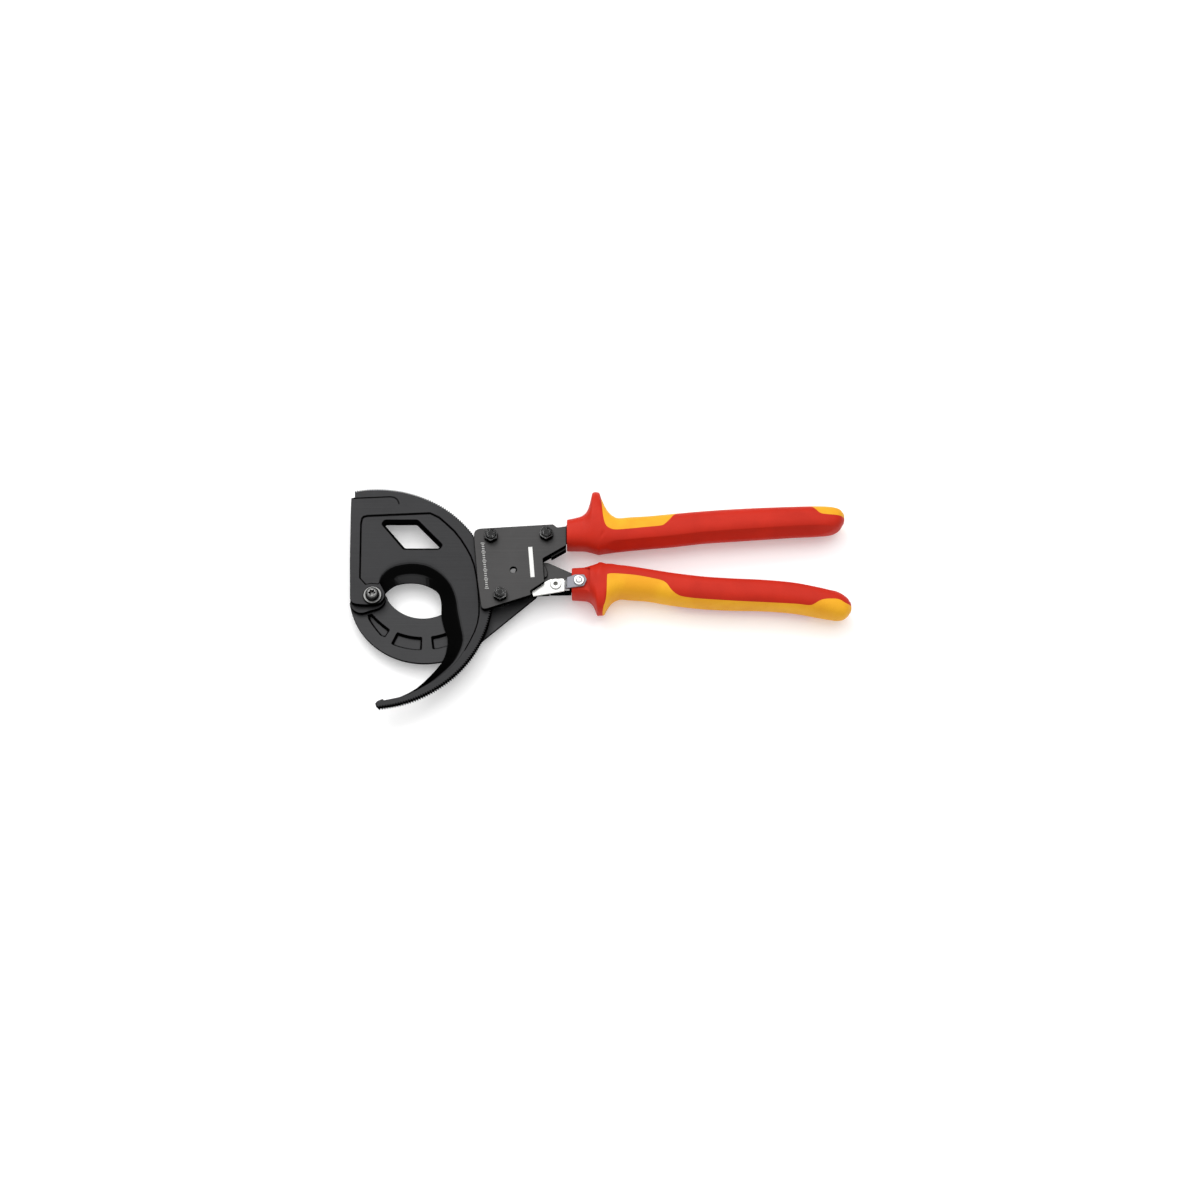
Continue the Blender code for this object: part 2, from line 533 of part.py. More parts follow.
def build_pivot():
    """The jaw pivot: a headed bolt from the back, taken by a pan-head screw and washer in front."""
    bolt = turned("pivot_bolt", [(PIVOT_HEAD_R - 0.5, 0.0), (PIVOT_HEAD_R, 0.5), (PIVOT_HEAD_R, 3.0),
                                 (PIVOT_R, 3.0), (PIVOT_R, 15.4)], PIVOT, "black_steel", sides=40)
    drill(bolt, PIVOT, SCREW_R + 0.1, (7.0, THROUGH), 24)
    washer = turned("pivot_washer", [(WASHER_R, 15.9), (WASHER_R, 16.6), (WASHER_R - 0.5, 16.9)],
                    PIVOT, "screw_steel", sides=40)
    drill(washer, PIVOT, SCREW_R + 0.3, sides=24)
    head = [(SCREW_HEAD_R, 17.2), (SCREW_HEAD_R, 19.0), (SCREW_HEAD_R - 0.3, 19.6),
            (SCREW_HEAD_R - 0.9, 20.05), (SCREW_HEAD_R - 1.9, 20.3)]
    screw = turned("pivot_screw", [(SCREW_R, 8.0), (SCREW_R, 17.2)] + head, PIVOT, "screw_steel", sides=40)
    rings = []
    for size, z in ((0.55, 17.7), (0.9, 18.3), (1.0, 20.4), (1.0, 21.0)):
        lobes = [size * (1.75 if i % 2 else 2.6) for i in range(12)]
        rings.append([(r * math.cos(math.pi * i / 6), r * math.sin(math.pi * i / 6), z)
                      for i, r in enumerate(lobes)])
    combine(screw, loft("socket_tool", rings), "DIFFERENCE")


def build_core():
    """The bar bolted behind the front plate that carries the upper grip."""
    core = prism("handle_core", rounded(CORE), CORE_Z, "plate_steel")
    drill(core, BOLT_B, BOLT_HOLE_R)


def build_lever():
    """The lower handle lever: pivot boss, driving arm, thick tang and the bar in the grip."""
    outline = [(x, y) for x, y in LEVER_TANG]
    outline += arc(LEVER_AXIS, LEVER_BOSS_R, 60.0, 228.0, 20)
    lever = prism("lower_lever", outline, LEVER_Z, "plate_steel")
    boss = turned("boss_tool", [(LEVER_BOSS_R + 0.02, 10.0), (LEVER_BOSS_R + 0.02, LEVER_BOSS_TOP)],
                  LEVER_AXIS, sides=48)
    relief = [(90.0, 1.6), (118.0, 1.6), (118.0, 17.1), (90.0, 1.7)]
    combine(boss, prism("relief_tool", relief, (LEVER_Z[1] + 0.02, THROUGH)), "DIFFERENCE")
    combine(lever, boss, "UNION")
    thick = [(113.7, 4.7), (127.4, 5.0), (127.4, 16.4), (113.7, 22.9)]
    combine(lever, prism("thick_tool", thick, (LEVER_THICK_BOTTOM, 10.0)), "UNION")
    arm = [(94.2, 26.5), (94.2, 14.0), (106.0, 14.0), (107.0, 24.0), (104.0, 30.5), (99.5, 34.2),
           (87.0, 35.5)]
    arm += arc(PAWL_AXIS, 4.5, 100.0, 270.0, 12)
    combine(lever, prism("arm_tool", arm, (LEVER_Z[0], LEVER_ARM_TOP)), "UNION")
    drill(lever, LEVER_AXIS, LEVER_PIN_R + RUNNING)
    drill(lever, PAWL_AXIS, PAWL_PIN_R + RUNNING, sides=24)
    drill(lever, CATCH_AXIS, RIVET_R + RUNNING, sides=24)
    drill(lever, SPRING_STUD, 1.6, sides=16)
    turned("pawl_pin", [(PAWL_PIN_R, 9.8), (PAWL_PIN_R, 15.5)], PAWL_AXIS, "zinc_steel", 24)
    turned("spring_stud", [(1.4, 9.8), (1.4, 15.3)], SPRING_STUD, "zinc_steel", 16)


def build_pawls():
    """The driving pawl on the lever, the holding pawl on the frame, and their springs."""
    drive = arc(PAWL_AXIS, 4.2, -25.0, 160.0, 16)
    drive += [(79.0, 17.5), (76.75, 10.6), (77.3, 8.7), (80.3, 11.0), (85.4, 19.6)]
    pawl = prism("drive_pawl", drive, PAWL_Z, "black_steel")
    drill(pawl, PAWL_AXIS, PAWL_PIN_R + RUNNING, sides=24)
    hold = arc(BOLT_A, 6.0, -20.0, 205.0, 18) + [(72.65, 26.7), (73.5, 25.9), (75.8, 27.2)]
    pawl = prism("holding_pawl", hold, HOLDING_PAWL_Z, "black_steel")
    drill(pawl, BOLT_A, SLEEVE_R + RUNNING)

    leaf = arc(SPRING_STUD, 2.4, -120.0, 170.0, 14)
    leaf += [(93.4, 28.1), (89.2, 25.3), (89.5, 24.8), (93.8, 27.4)]
    strip = prism("drive_spring", leaf, (12.6, 15.0), "zinc_steel")
    drill(strip, SPRING_STUD, 1.7, sides=16)

    coil = []
    turns, per_turn = 2.25, 12
    for i in range(int(turns * per_turn) + 1):
        a = math.radians(-20.0) + 2 * math.pi * i / per_turn
        rise = 1.6 * i / (turns * per_turn)
        coil.append((BOLT_A[0] + 4.5 * math.cos(a), BOLT_A[1] + 4.5 * math.sin(a), 13.4 + rise))
    legs = [(79.1, 31.0, 11.0), (79.1, 31.0, 12.9), (79.2, 31.8, 13.35), (79.6, 36.0, 13.4)]
    end = [(80.0, 43.4, 15.0), (87.6, 42.0, 15.0)]
    wire("holding_spring", legs + coil[:-1] + end, 0.3, "zinc_steel")


def build_catch():
    """The riveted catch lever on the lower tang, with its bent thumb tab and stud."""
    catch = prism("catch_lever", rounded(CATCH), CATCH_Z, "zinc_steel")
    drill(catch, CATCH_AXIS, RIVET_R + RUNNING, sides=24)
    rivet = turned("catch_rivet", [(RIVET_R, 5.0), (RIVET_R, 15.9), (3.7, 15.9), (3.7, 16.3), (3.3, 16.7)],
                   CATCH_AXIS, "zinc_steel", 24)
    drill(rivet, CATCH_AXIS, 1.5, (8.0, THROUGH), 20)
    tab = prism("thumb_tab", rounded(TAB), TAB_Z, "tab_steel")
    riser = [[(x, 4.4, z), (x + 1.3, 4.4, z), (x + 1.3, 9.6, z), (x, 9.6, z)]
             for x, z in ((122.9, 15.9), (125.2, TAB_Z[1] - 0.2))]
    combine(tab, loft("riser_tool", riser), "UNION")
    drill(tab, TAB_STUD, 1.4, sides=16)
    turned("tab_stud", [(1.2, 21.2), (1.2, 22.9), (3.4, 22.9), (3.1, 23.6), (2.0, 24.2), (0.8, 24.45)],
           TAB_STUD, "chrome", 24)


def fade(x, span):
    """Rises from 0 to 1 over the first two marks of span and falls over the last two."""
    start, full, last, end = span
    rise = min(1.0, max(0.0, (x - start) / (full - start)))
    fall = min(1.0, max(0.0, (end - x) / (end - last)))
    return rise * fall


def grip_rings(stations, inner_side):
    """Superellipse rings along a handle, with a flat on each face beside the inner side."""
    rings = []
    power = 2.0 / GRIP_POWER
    dual = GRIP_POWER / (GRIP_POWER - 1.0)
    lean_y, lean_z = math.cos(FACET_LEAN), math.sin(FACET_LEAN)
    for x, cy, half_y, half_z in smooth(stations, 2):
        flat = fade(x, FACET_SPAN)
        broad = half_y + FACET_SWELL * flat
        reach = ((broad * lean_y) ** dual + (half_z * lean_z) ** dual) ** (1.0 / dual)
        limit = reach - FACET_DEPTH * flat
        ring = []
        for i in range(GRIP_POINTS):
            a = 2 * math.pi * (i + 0.5) / GRIP_POINTS
            c, s = math.cos(a), math.sin(a)
            y = (broad if c * inner_side > 0.0 else half_y) * math.copysign(abs(c) ** power, c)
            z = half_z * math.copysign(abs(s) ** power, s)
            over = max(0.0, y * inner_side * lean_y + abs(z) * lean_z - limit)
            y -= over * inner_side * lean_y
            z -= over * math.copysign(lean_z, z)
            ring.append((x, cy + y, GRIP_MID_Z + z))
        rings.append(ring)
    return rings


def build_grip(prefix, stations, side, line, bar, bar_z):
    """A hard shell and a soft inlay on its outer side, with a slot for the bar."""
    region = line + [(line[-1][0], line[0][1])]
    shell = loft(prefix + "_grip_shell", grip_rings(stations, -side), "red_plastic")
    combine(shell, prism("shell_region_tool", inset(region, -GROOVE), (-5.0, THROUGH)), "DIFFERENCE")
    inlay = loft(prefix + "_grip_inlay", grip_rings(stations, -side), "yellow_plastic")
    combine(inlay, prism("inlay_region_tool", inset(region, GROOVE), (-5.0, THROUGH)), "INTERSECT")
    slot = (bar_z[0] - GAP, bar_z[1] + GAP)
    for piece in (shell, inlay):
        combine(piece, prism("bar_tool", bar, slot), "DIFFERENCE")
    return shell


def build_grips():
    """Both handles."""
    bar = [(110.0, 37.2), (262.4, 48.0), (262.4, 57.7), (110.0, 49.9)]
    build_grip("upper", UPPER_GRIP, 1.0, UPPER_INLAY, bar, CORE_Z)
    bar = [(110.0, 5.6), (262.4, -4.3), (262.4, 5.5), (110.0, 16.4)]
    shell = build_grip("lower", LOWER_GRIP, -1.0, LOWER_INLAY, bar, LEVER_Z)
    seat = [(120.0, -3.0), (139.5, -3.0), (139.5, 16.5), (120.0, 16.5)]
    combine(shell, prism("seat_tool", seat, (TAB_Z[0] - 2 * GAP, THROUGH)), "DIFFERENCE")


for old in list(bpy.data.objects):
    bpy.data.objects.remove(old, do_unlink=True)
parts = bpy.data.collections.new("cable_cutter")
cutters = bpy.data.collections.new("cutters")
bpy.context.scene.collection.children.link(parts)
bpy.context.scene.collection.children.link(cutters)

build_moving_jaw()
build_fixed_jaw()
build_front_plate()
build_frame_hardware()
build_pivot()
build_core()
build_lever()
build_pawls()
build_catch()
build_grips()
hinge("jaw_axis", PIVOT, ["moving_jaw"])
handle = hinge("handle_axis", LEVER_AXIS, ["lower_lever", "lower_grip_shell", "lower_grip_inlay",
                                           "catch_rivet", "pawl_pin", "spring_stud", "drive_spring"])
hinge("drive_pawl_axis", PAWL_AXIS, ["drive_pawl"], handle)
hinge("catch_axis", CATCH_AXIS, ["catch_lever", "thumb_tab", "tab_stud"], handle)
hinge("holding_pawl_axis", BOLT_A, ["holding_pawl"])
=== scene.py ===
import json
import math

import bmesh
import bpy
import numpy as np
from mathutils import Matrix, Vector


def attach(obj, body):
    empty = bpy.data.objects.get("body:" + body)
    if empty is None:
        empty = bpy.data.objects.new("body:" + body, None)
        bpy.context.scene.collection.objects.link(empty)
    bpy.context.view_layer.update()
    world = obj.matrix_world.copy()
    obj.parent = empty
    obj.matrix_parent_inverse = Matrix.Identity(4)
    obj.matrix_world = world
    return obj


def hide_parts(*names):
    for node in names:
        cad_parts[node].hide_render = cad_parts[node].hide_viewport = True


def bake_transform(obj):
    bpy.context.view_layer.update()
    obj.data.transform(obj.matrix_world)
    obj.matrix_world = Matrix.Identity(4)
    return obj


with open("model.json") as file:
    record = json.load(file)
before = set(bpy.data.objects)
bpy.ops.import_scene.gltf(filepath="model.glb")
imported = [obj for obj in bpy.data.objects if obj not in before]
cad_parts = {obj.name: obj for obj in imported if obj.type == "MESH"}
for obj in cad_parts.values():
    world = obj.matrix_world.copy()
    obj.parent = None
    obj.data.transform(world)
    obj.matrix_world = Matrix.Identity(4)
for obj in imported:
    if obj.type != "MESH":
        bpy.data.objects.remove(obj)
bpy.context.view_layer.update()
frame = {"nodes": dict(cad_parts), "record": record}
nodes = frame["nodes"]

MM = 0.001


# ---------------------------------------------------------------- materials
BEVEL_SAMPLES = 6
CORNER_SHADE_SAMPLES = 8
CORNER_SHADE_OPEN = (0.45, 0.85)     # painted shade from ambient occlusion, from deep in a corner to the open
EDGE_TURN = (0.995, 0.9)        # rounded against true normal, from a flat face to an edge
FLAT_TURN = (0.95, 0.995)       # height of the normal, from a wall to a flat face
CORNER_SHADE_REACH = 1.6 * MM
RIM_OUTLINE = 0.08 * MM         # width of the painted edge shade beyond the start of the toothed rim
GRAIN = (18.0, 1400.0, 600.0)   # stretch of the grinding lines
GRAIN_SPIN = 0.35
# Specular tints: black on walls, which takes their reflections away as painted shade; grey on flat faces
FACE_TINT, WALL_TINT = (0.8, 0.8, 0.8), (0.0, 0.0, 0.0)


class Graph:
    """Short calls for one material's node tree."""

    def __init__(self, name):
        self.material = bpy.data.materials.new(name)
        self.material.use_nodes = True
        self.tree = self.material.node_tree
        self.tree.nodes.clear()
        self.shader = self.add("ShaderNodeBsdfPrincipled")
        output = self.add("ShaderNodeOutputMaterial")
        self.link(self.shader.outputs[0], output.inputs[0])
        self.place = self.add("ShaderNodeTexCoord").outputs["Object"]

    def add(self, kind, **settings):
        node = self.tree.nodes.new(kind)
        for key, value in settings.items():
            setattr(node, key, value)
        return node

    def link(self, a, b):
        self.tree.links.new(a, b)

    def feed(self, value, socket):
        if isinstance(value, bpy.types.NodeSocket):
            self.link(value, socket)
        else:
            socket.default_value = value

    def math(self, operation, a, b=0.0):
        node = self.add("ShaderNodeMath", operation=operation)
        for value, socket in zip((a, b), node.inputs):
            self.feed(value, socket)
        return node.outputs[0]

    def stretch(self, scale, spin=0.0):
        node = self.add("ShaderNodeMapping")
        node.inputs["Scale"].default_value = scale
        node.inputs["Rotation"].default_value = (0.0, 0.0, spin)
        self.link(self.place, node.inputs["Vector"])
        return node.outputs[0]

    def noise(self, scale, detail=3.0, rough=0.5, vector=None, distortion=0.0):
        node = self.add("ShaderNodeTexNoise")
        node.inputs["Scale"].default_value = scale
        node.inputs["Detail"].default_value = detail
        node.inputs["Roughness"].default_value = rough
        node.inputs["Distortion"].default_value = distortion
        self.link(vector or self.place, node.inputs["Vector"])
        return node.outputs["Fac"]

    def cells(self, scale):
        node = self.add("ShaderNodeTexVoronoi", feature="F1")
        node.inputs["Scale"].default_value = scale
        self.link(self.place, node.inputs["Vector"])
        return node.outputs["Distance"]

    def ramp(self, value, low, high, out_low=0.0, out_high=1.0):
        node = self.add("ShaderNodeMapRange", interpolation_type="SMOOTHSTEP")
        limits = {"From Min": low, "From Max": high, "To Min": out_low, "To Max": out_high}
        for key, number in limits.items():
            node.inputs[key].default_value = number
        self.link(value, node.inputs["Value"])
        return node.outputs["Result"]

    def mix(self, factor, a, b):
        node = self.add("ShaderNodeMix", data_type="RGBA")
        self.feed(factor, node.inputs[0])
        for value, socket in ((a, node.inputs[6]), (b, node.inputs[7])):
            self.feed((*value, 1.0) if isinstance(value, tuple) else value, socket)
        return node.outputs[2]

    def rounded(self, radius):
        """The normal with every edge rounded to a radius."""
        bevel = self.add("ShaderNodeBevel", samples=BEVEL_SAMPLES)
        self.feed(radius, bevel.inputs["Radius"])
        return bevel.outputs[0]

    def facing(self, radius):
        """How far the surface lies flat, from 0 on a wall to 1 on a front or back face."""
        split = self.add("ShaderNodeSeparateXYZ")
        self.link(self.rounded(radius), split.inputs[0])
        return self.math("ABSOLUTE", split.outputs["Z"])

    def reach(self):
        """Distance from the object's own vertical axis, in metres."""
        flat = self.add("ShaderNodeVectorMath", operation="MULTIPLY")
        flat.inputs[1].default_value = (1.0, 1.0, 0.0)
        self.link(self.place, flat.inputs[0])
        length = self.add("ShaderNodeVectorMath", operation="LENGTH")
        self.link(flat.outputs["Vector"], length.inputs[0])
        return length.outputs["Value"]

    def painted_corner_shade(self, distance):
        """Painted shade from ambient occlusion: 0 deep in a corner or under another piece, 1 in the open.
        """
        node = self.add("ShaderNodeAmbientOcclusion", samples=CORNER_SHADE_SAMPLES)
        node.inputs["Distance"].default_value = distance
        return self.ramp(node.outputs["AO"], *CORNER_SHADE_OPEN)

    def edges(self, radius):
        """1 on an outer or inner edge and 0 elsewhere, for lighter edges, and the rounded normal."""
        soft = self.rounded(radius)
        true = self.add("ShaderNodeNewGeometry").outputs["Normal"]
        dot = self.add("ShaderNodeVectorMath", operation="DOT_PRODUCT")
        self.link(soft, dot.inputs[0])
        self.link(true, dot.inputs[1])
        return self.ramp(dot.outputs["Value"], *EDGE_TURN), soft

    def bump(self, height, strength, distance, normal=None):
        node = self.add("ShaderNodeBump")
        node.inputs["Strength"].default_value = strength
        node.inputs["Distance"].default_value = distance
        self.link(height, node.inputs["Height"])
        if normal is not None:
            self.link(normal, node.inputs["Normal"])
        return node.outputs[0]

    def finish(self, color, rough, normal=None, **constants):
        color = (*color, 1.0) if isinstance(color, tuple) else color
        self.feed(color, self.shader.inputs["Base Color"])
        self.feed(rough, self.shader.inputs["Roughness"])
        if normal is not None:
            self.link(normal, self.shader.inputs["Normal"])
        for key, value in constants.items():
            self.shader.inputs[key.replace("_", " ")].default_value = value
        return self.material


def burnished(name, face, wall, worn_and_highlight, rough, wear_and_highlight=0.2, outline=0.5 * MM, rim=0.25 * MM, rim_reach=None):
    """Dark steel: ground faces; cut walls near black, partly cut steel and partly painted shade; painted
    shade in corners and along edges; edges lighter, partly rubbed and partly painted highlight.
    """
    g = Graph(name)
    # The painted edge shade narrows to a thin line along the toothed rim.
    if rim_reach is not None:
        outline = g.ramp(g.reach(), rim_reach - 1.0 * MM, rim_reach, outline, RIM_OUTLINE)
    # Painted shade mask: 0 on walls, in a band along every edge, and in corners and under other pieces by
    # ambient occlusion.
    flat = g.ramp(g.facing(outline), *FLAT_TURN)
    flat = g.math("MULTIPLY", flat, g.painted_corner_shade(CORNER_SHADE_REACH))
    clouds = g.noise(38.0, 4.0, 0.6)
    fine = g.noise(2600.0, 2.0, 0.6)
    lines = g.noise(1.0, 3.0, 0.65, g.stretch(GRAIN, GRAIN_SPIN))
    shade = g.math("ADD", g.math("MULTIPLY", clouds, 0.5), g.math("MULTIPLY", lines, 0.3))
    shade = g.math("ADD", shade, g.math("MULTIPLY", fine, 0.2))
    dark = tuple(v * 0.80 for v in face)
    light = tuple(v * 1.22 for v in face)
    color = g.mix(g.ramp(shade, 0.3, 0.7), dark, light)
    # Painted shade: the masked places take the near-black wall colour; on cut walls this is partly the
    # darker cut steel.
    color = g.mix(flat, wall, color)
    # Lighter edges: partly rubbed steel, and on the nuts and the screw partly a painted highlight.
    edge, soft = g.edges(rim)
    patchy = g.math("MULTIPLY", edge, g.ramp(g.noise(160.0, 3.0, 0.7), 0.42, 0.62, 0.25, 1.0))
    color = g.mix(g.math("MULTIPLY", patchy, wear_and_highlight), color, worn_and_highlight)
    roughness = g.ramp(shade, 0.3, 0.7, rough - 0.05, rough + 0.06)
    roughness = g.math("ADD", roughness, g.math("MULTIPLY", patchy, -0.08))
    height = g.math("ADD", g.math("MULTIPLY", lines, 0.6), g.math("MULTIPLY", fine, 0.4))
    # Painted shade: a black specular tint on the walls takes their reflections away.
    g.link(g.mix(flat, WALL_TINT, FACE_TINT), g.shader.inputs["Specular Tint"])
    return g.finish(color, roughness, g.bump(height, 0.25, 0.02 * MM, soft), Metallic=1.0)


def plated(name, tone, rough, metal=0.95):
    """Zinc plating, slightly clouded, with fine scratches."""
    g = Graph(name)
    clouds = g.noise(120.0, 4.0, 0.6)
    scratch = g.noise(1.0, 3.0, 0.7, g.stretch((60.0, 1800.0, 1800.0), 0.5))
    blend = g.math("ADD", g.math("MULTIPLY", clouds, 0.6), g.math("MULTIPLY", scratch, 0.4))
    color = g.mix(g.ramp(blend, 0.35, 0.65), tuple(v * 0.86 for v in tone), tone)
    edge, soft = g.edges(0.2 * MM)
    color = g.mix(g.math("MULTIPLY", edge, 0.35), color, tuple(min(1.0, v * 1.2) for v in tone))
    return g.finish(color, g.ramp(blend, 0.3, 0.7, rough - 0.06, rough + 0.08),
                    g.bump(scratch, 0.15, 0.01 * MM, soft), Metallic=metal)


def moulded(name, tone, deep, rough, pits):
    """Moulded plastic: fine eroded grain and faint clouding."""
    g = Graph(name)
    clouds = g.noise(45.0, 3.0, 0.55, distortion=0.4)
    fine = g.cells(pits)
    speck = g.noise(1500.0, 3.0, 0.6)
    blend = g.math("ADD", g.math("MULTIPLY", clouds, 0.7), g.math("MULTIPLY", speck, 0.3))
    color = g.mix(g.ramp(blend, 0.32, 0.68), deep, tone)
    height = g.math("ADD", g.math("MULTIPLY", fine, 0.6), g.math("MULTIPLY", speck, 0.4))
    return g.finish(color, g.ramp(blend, 0.3, 0.7, rough + 0.06, rough - 0.05),
                    g.bump(height, 0.22, 0.05 * MM), Specular_IOR_Level=0.14)


def painted(name, tone, bare):
    """Printed paint, a little uneven and rubbed thin in places."""
    g = Graph(name)
    rubbed = g.ramp(g.noise(700.0, 4.0, 0.7), 0.6, 0.72)
    color = g.mix(g.math("MULTIPLY", rubbed, 0.7), tone, bare)
    grain = g.noise(2400.0, 3.0, 0.6)
    return g.finish(color, g.ramp(grain, 0.3, 0.7, 0.5, 0.65), g.bump(grain, 0.2, 0.01 * MM))


# Wall colours are near black, partly the cut steel and partly painted shade; the light edge colours of the
# nuts and the screw are partly rubbed steel and partly painted highlight.
WALL_SHADE_BLACK = (0.003, 0.003, 0.003)
LOOKS = {
    "blade_steel": burnished("blade_steel", (0.031, 0.031, 0.032), (0.0025, 0.0025, 0.0025),
                             (0.1, 0.1, 0.1), 0.5, rim_reach=75.2 * MM),
    "frame_steel": burnished("frame_steel", (0.04, 0.04, 0.041), WALL_SHADE_BLACK, (0.12, 0.12, 0.12), 0.52),
    "plate_steel": burnished("plate_steel", (0.053, 0.052, 0.052), WALL_SHADE_BLACK, (0.15, 0.15, 0.15), 0.52),
    "black_steel": burnished("black_steel", (0.02, 0.02, 0.02), WALL_SHADE_BLACK, (0.6, 0.6, 0.6), 0.4,
                             wear_and_highlight=0.85, outline=0.3 * MM, rim=0.7 * MM),
    "screw_steel": burnished("screw_steel", (0.2, 0.2, 0.197), (0.02, 0.02, 0.02), (0.75, 0.75, 0.74),
                             0.36, wear_and_highlight=0.9, outline=0.25 * MM, rim=0.35 * MM),
    "tab_steel": plated("tab_steel", (0.21, 0.21, 0.235), 0.42, 0.85),
    "zinc_steel": plated("zinc_steel", (0.74, 0.74, 0.72), 0.34),
    "chrome": plated("chrome", (0.86, 0.86, 0.87), 0.1, 1.0),
    "marking_white": painted("marking_white", (0.78, 0.78, 0.76), (0.12, 0.12, 0.12)),
    "red_plastic": moulded("red_plastic", (0.56, 0.022, 0.008), (0.48, 0.018, 0.007), 0.46, 2600.0),
    "yellow_plastic": moulded("yellow_plastic", (0.86, 0.43, 0.02), (0.78, 0.34, 0.016), 0.52, 2200.0),
}


def dress(obj, look):
    obj.data.materials.clear()
    obj.data.materials.append(LOOKS[look])


SOFTENED = ("front_plate", "nut_a", "nut_b", "nut_c", "catch_lever", "pivot_washer")
SOFT_WIDTH = 0.3 * MM
SOFT_ANGLE = math.radians(38.0)
WELD_GAP = 0.001 * MM
EDGE_SEGMENTS = 2


def soften(obj):
    """Rounds the sharp edges of a hard piece."""
    weld = obj.modifiers.new("weld", "WELD")
    weld.merge_threshold = WELD_GAP
    bevel = obj.modifiers.new("soften", "BEVEL")
    bevel.width = SOFT_WIDTH
    bevel.segments = EDGE_SEGMENTS
    bevel.limit_method = "ANGLE"
    bevel.angle_limit = SOFT_ANGLE
    bevel.harden_normals = True
    bevel.use_clamp_overlap = True


for part in frame["record"]["subparts"]:
    dress(nodes[part["node"]], part["material_slot"])
    if part["node"] in SOFTENED:
        soften(nodes[part["node"]])


# ---------------------------------------------------------------- shapes
def smooth(points, steps):
    """A Catmull-Rom curve through the points."""
    padded = [points[0]] + list(points) + [points[-1]]
    curve = []
    for p0, p1, p2, p3 in zip(padded, padded[1:], padded[2:], padded[3:]):
        for i in range(steps):
            t = i / steps
            curve.append(tuple(
                0.5 * (2 * b + (c - a) * t + (2 * a - 5 * b + 4 * c - d) * t ** 2
                       + (3 * b - a - 3 * c + d) * t ** 3)
                for a, b, c, d in zip(p0, p1, p2, p3)))
    curve.append(tuple(points[-1]))
    return curve


def evenly(curve, spacing):
    """The curve of (x, centre, half width, half height) at even steps along its first three values."""
    data = np.array(curve)
    length = np.concatenate([[0.0], np.cumsum(np.linalg.norm(np.diff(data[:, :3], axis=0), axis=1))])
    marks = np.linspace(0.0, length[-1], int(length[-1] / spacing) + 1)
    return np.stack([np.interp(marks, length, data[:, k]) for k in range(data.shape[1])], axis=1)


def add_object(name, mesh, look=None):
    obj = bpy.data.objects.new(name, mesh)
    bpy.context.scene.collection.objects.link(obj)
    if look:
        mesh.materials.append(LOOKS[look])
    return obj


def closed_mesh(name, verts, faces):
    """A mesh whose faces all point out."""
    mesh = bpy.data.meshes.new(name)
    mesh.from_pydata(verts, [], faces)
    shell = bmesh.new()
    shell.from_mesh(mesh)
    bmesh.ops.recalc_face_normals(shell, faces=shell.faces)
    shell.to_mesh(mesh)
    shell.free()
    return mesh


def loft(name, rings, look=None):
    """A closed skin through rings of equal count, given in millimetres."""
    rings = np.array(rings) * MM
    rows, count = rings.shape[:2]
    faces = []
    for low in range(0, (rows - 1) * count, count):
        high = low + count
        faces += [(low + i, low + (i + 1) % count, high + (i + 1) % count, high + i) for i in range(count)]
    faces.append(tuple(reversed(range(count))))
    faces.append(tuple((rows - 1) * count + i for i in range(count)))
    return add_object(name, closed_mesh(name, rings.reshape(-1, 3).tolist(), faces), look)


def prism(name, outline, span):
    """A closed outline carried from span's bottom to its top."""
    return loft(name, [[(x, y, z) for x, y in outline] for z in span])


def cut(target, tool, operation):
    """Applies an exact boolean and removes the tool."""
    step = target.modifiers.new("cut", "BOOLEAN")
    step.operation = operation
    step.solver = "EXACT"
    step.object = tool
    bpy.context.view_layer.update()
    done = target.evaluated_get(bpy.context.evaluated_depsgraph_get())
    mesh = bpy.data.meshes.new_from_object(done)
    old = target.data
    target.modifiers.clear()
    target.data = mesh
    bpy.data.meshes.remove(old)
    bpy.data.objects.remove(tool, do_unlink=True)


def crease(obj, degrees, bevel=0.0):
    """Smooth shading with sharp edges past an angle, and a small real bevel on them."""
    obj.data.shade_smooth()
    obj.data.set_sharp_from_angle(angle=math.radians(degrees))
    if bevel > 0.0:
        step = obj.modifiers.new("edge", "BEVEL")
        step.width = bevel * MM
        step.segments = EDGE_SEGMENTS
        step.limit_method = "ANGLE"
        step.angle_limit = math.radians(degrees + 8.0)
        step.use_clamp_overlap = True


# ---------------------------------------------------------------- grips
GRIP_MID_Z = 12.45
GRIP_POWER = 2.5
UPPER_GRIP = [(124.4, 44.1, 9.7, 10.2), (132.0, 45.0, 10.7, 10.5), (135.2, 45.8, 11.6, 10.6),
              (137.5, 47.0, 13.1, 11.2), (139.0, 49.1, 15.7, 11.7), (140.0, 51.3, 18.2, 12.1),
              (141.2, 53.3, 20.6, 12.4), (145.2, 52.7, 21.2, 12.4), (146.3, 51.4, 19.6, 12.4),
              (147.6, 49.7, 17.6, 12.2), (149.2, 47.9, 15.4, 12.0), (151.5, 46.0, 13.2, 11.7),
              (154.5, 44.7, 11.5, 11.5), (158.0, 44.2, 10.6, 11.3), (166.0, 45.0, 10.5, 11.1),
              (178.0, 46.0, 10.3, 11.0), (193.0, 47.5, 10.4, 11.0), (213.0, 49.7, 10.1, 11.0),
              (233.0, 51.2, 10.1, 11.0), (252.0, 52.4, 9.9, 11.0), (272.0, 53.5, 9.6, 10.8),
              (288.0, 54.1, 9.4, 10.6), (296.0, 54.5, 8.8, 9.6), (300.4, 55.0, 7.6, 8.4),
              (303.0, 55.6, 5.9, 6.6), (304.4, 56.0, 3.9, 4.4)]
